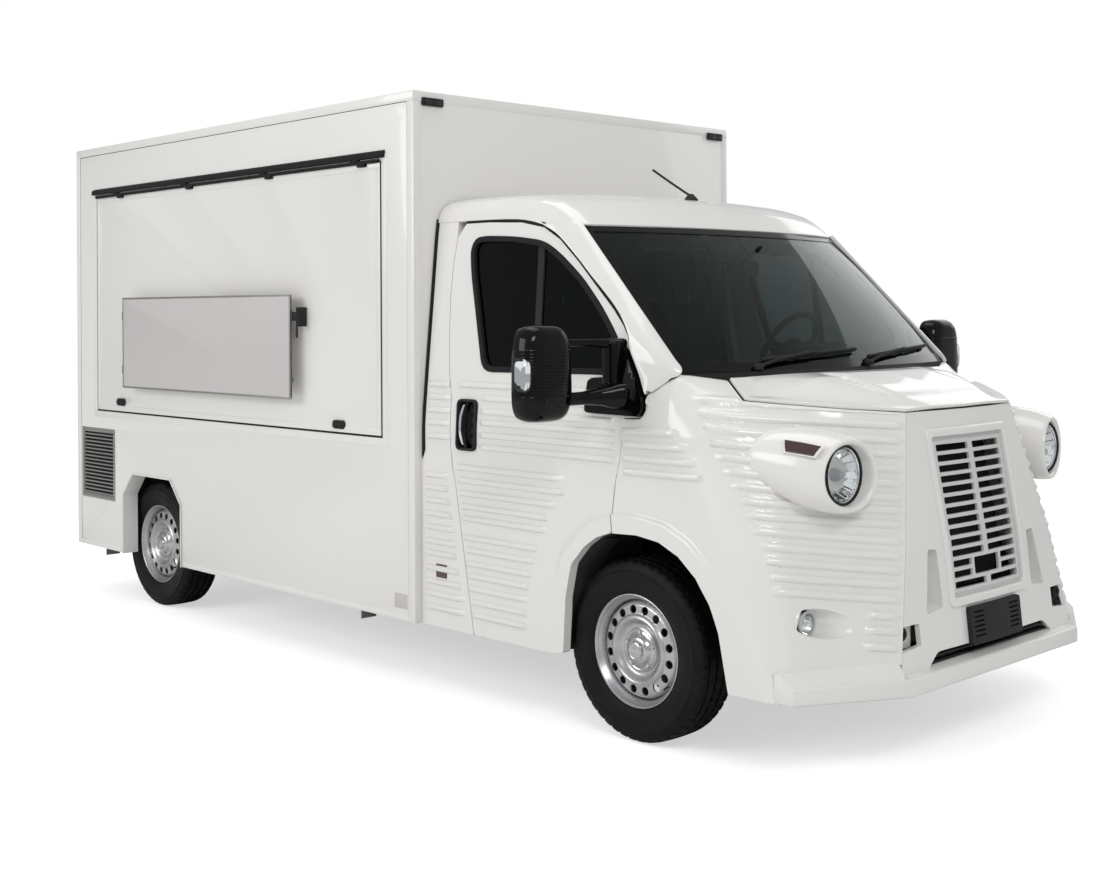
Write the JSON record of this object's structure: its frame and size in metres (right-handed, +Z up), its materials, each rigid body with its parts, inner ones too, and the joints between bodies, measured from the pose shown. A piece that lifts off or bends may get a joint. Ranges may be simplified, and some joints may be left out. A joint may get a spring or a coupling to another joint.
{
  "type": "food truck",
  "caption": "White van-based food truck with a ribbed retro front, a flat-sided serving box, a top-hinged side hatch and a blank sign board.",
  "frame": {"origin": "centre of the truck's length and width, on the ground under the tyres", "axes": "+X forward, +Y to the truck's left, +Z up"},
  "size_m": [5.679, 3.06, 2.714],
  "materials": {
    "box_white": "gloss",
    "kit_white": "gloss",
    "cab_paint": "gloss",
    "grille_silver": "satin",
    "tyre": "matte",
    "rim_silver": "satin metallic",
    "black_gloss": "gloss",
    "black_plastic": "matte",
    "tinted_glass": "clear",
    "lamp_glass": "clear",
    "lamp_red": "gloss",
    "chassis_black": "satin",
    "cast_alloy": "cast",
    "cast_steel": "cast",
    "zinc_steel": "galvanised",
    "alloy": "brushed",
    "stainless": "brushed",
    "floor_grey": "matte",
    "sign_white": "satin",
    "seat_cloth": "woven"
  },
  "bodies": {
    "truck": {"chassis_frame": "chassis_black", "rear_axle": "chassis_black", "engine": "cast_alloy", "box_floor": "floor_grey", "box_roof": "box_white", "box_front_wall": "box_white", "box_left_wall": "box_white", "box_right_wall": "box_white", "box_rear_wall": "box_white", "rear_lamps": "lamp_red", "rear_bumper": "chassis_black", "vent": "alloy", "serving_counter": "stainless", "cab_floor": "chassis_black", "cab_rear_wall": "cab_paint", "cab_sides": "kit_white", "cab_roof": "cab_paint", "windscreen_frame": "cab_paint", "windscreen": "tinted_glass", "nose_panel": "kit_white", "grille": "grille_silver", "wings": "kit_white", "front_lamps": "lamp_glass", "bumper": "kit_white", "dashboard": "black_plastic", "steering_column": "black_plastic", "seat_pads": "seat_cloth", "headrests": "seat_cloth", "seat_frames": "black_plastic", "wipers": "black_plastic"},
    "knuckle_left": {"knuckle_left": "cast_steel"},
    "wheel_front_left": {"tyre_front_left": "tyre", "rim_front_left": "rim_silver"},
    "wheel_rear_left": {"tyre_rear_left": "tyre", "rim_rear_left": "rim_silver"},
    "door_left": {"door_left": "cab_paint", "door_glass_left": "tinted_glass", "mirror_left": "black_gloss"},
    "steady_front_left": {"steady_front_left": "zinc_steel"},
    "steady_rear_left": {"steady_rear_left": "zinc_steel"},
    "knuckle_right": {"knuckle_right": "cast_steel"},
    "wheel_front_right": {"tyre_front_right": "tyre", "rim_front_right": "rim_silver"},
    "wheel_rear_right": {"tyre_rear_right": "tyre", "rim_rear_right": "rim_silver"},
    "door_right": {"door_right": "cab_paint", "door_glass_right": "tinted_glass", "mirror_right": "black_gloss"},
    "steady_front_right": {"steady_front_right": "zinc_steel"},
    "steady_rear_right": {"steady_rear_right": "zinc_steel"},
    "bonnet": {"bonnet": "cab_paint"},
    "hatch": {"hatch_panel": "box_white", "sign_board": "sign_white"},
    "rear_door": {"rear_door": "box_white"},
    "steering_wheel": {"steering_wheel": "black_plastic"}
  },
  "joints": [
    {"name": "steer_left", "type": "hinge", "parent": "truck", "child": "knuckle_left", "pos_m": [1.8095, 0.82, 0.362], "axis": [0, 0, 1], "range_deg": [-32, 32]},
    {"name": "wheel_front_left_spin", "type": "hinge", "parent": "knuckle_left", "child": "wheel_front_left", "pos_m": [1.8095, 0.905, 0.362], "axis": [0, 1, 0], "continuous": true},
    {"name": "wheel_rear_left_spin", "type": "hinge", "parent": "truck", "child": "wheel_rear_left", "pos_m": [-1.9905, 0.895, 0.362], "axis": [0, 1, 0], "continuous": true},
    {"name": "door_left_hinge", "type": "hinge", "parent": "truck", "child": "door_left", "pos_m": [1.86895, 1.03, 1.11], "axis": [0, 0, -1], "range_deg": [0, 70]},
    {"name": "steady_front_left_fold", "type": "hinge", "parent": "truck", "child": "steady_front_left", "pos_m": [0.1755, 0.9, 0.272], "axis": [0, -1, 0], "range_deg": [0, 80]},
    {"name": "steady_rear_left_fold", "type": "hinge", "parent": "truck", "child": "steady_rear_left", "pos_m": [-2.4905, 0.9, 0.272], "axis": [0, -1, 0], "range_deg": [0, 80]},
    {"name": "steer_right", "type": "hinge", "parent": "truck", "child": "knuckle_right", "pos_m": [1.8095, -0.82, 0.362], "axis": [0, 0, 1], "range_deg": [-32, 32]},
    {"name": "wheel_front_right_spin", "type": "hinge", "parent": "knuckle_right", "child": "wheel_front_right", "pos_m": [1.8095, -0.905, 0.362], "axis": [0, 1, 0], "continuous": true},
    {"name": "wheel_rear_right_spin", "type": "hinge", "parent": "truck", "child": "wheel_rear_right", "pos_m": [-1.9905, -0.895, 0.362], "axis": [0, 1, 0], "continuous": true},
    {"name": "door_right_hinge", "type": "hinge", "parent": "truck", "child": "door_right", "pos_m": [1.86895, -1.03, 1.11], "axis": [0, 0, 1], "range_deg": [0, 70]},
    {"name": "steady_front_right_fold", "type": "hinge", "parent": "truck", "child": "steady_front_right", "pos_m": [0.1755, -0.9, 0.272], "axis": [0, -1, 0], "range_deg": [0, 80]},
    {"name": "steady_rear_right_fold", "type": "hinge", "parent": "truck", "child": "steady_rear_right", "pos_m": [-2.4905, -0.9, 0.272], "axis": [0, -1, 0], "range_deg": [0, 80]},
    {"name": "steering_wheel_turn", "type": "hinge", "parent": "truck", "child": "steering_wheel", "pos_m": [1.4795, 0.45, 1.535], "axis": [-0.866, 0, 0.5], "range_deg": [-450, 450]},
    {"name": "bonnet_hinge", "type": "hinge", "parent": "truck", "child": "bonnet", "pos_m": [2.16, 0, 1.398], "axis": [0, -1, 0], "range_deg": [0, 48]},
    {"name": "hatch_hinge", "type": "hinge", "parent": "truck", "child": "hatch", "pos_m": [-1.0975, -1.118, 2.412], "axis": [-1, 0, 0], "range_deg": [0, 90]},
    {"name": "rear_door_hinge", "type": "hinge", "parent": "truck", "child": "rear_door", "pos_m": [-2.7935, -0.38, 1.42], "axis": [0, 0, 1], "range_deg": [0, 100]}
  ],
  "couplings": [
    {"joint": "steer_right", "follows": "steer_left", "ratio": 1},
    {"joint": "steering_wheel_turn", "follows": "steer_left", "ratio": 14}
  ]
}
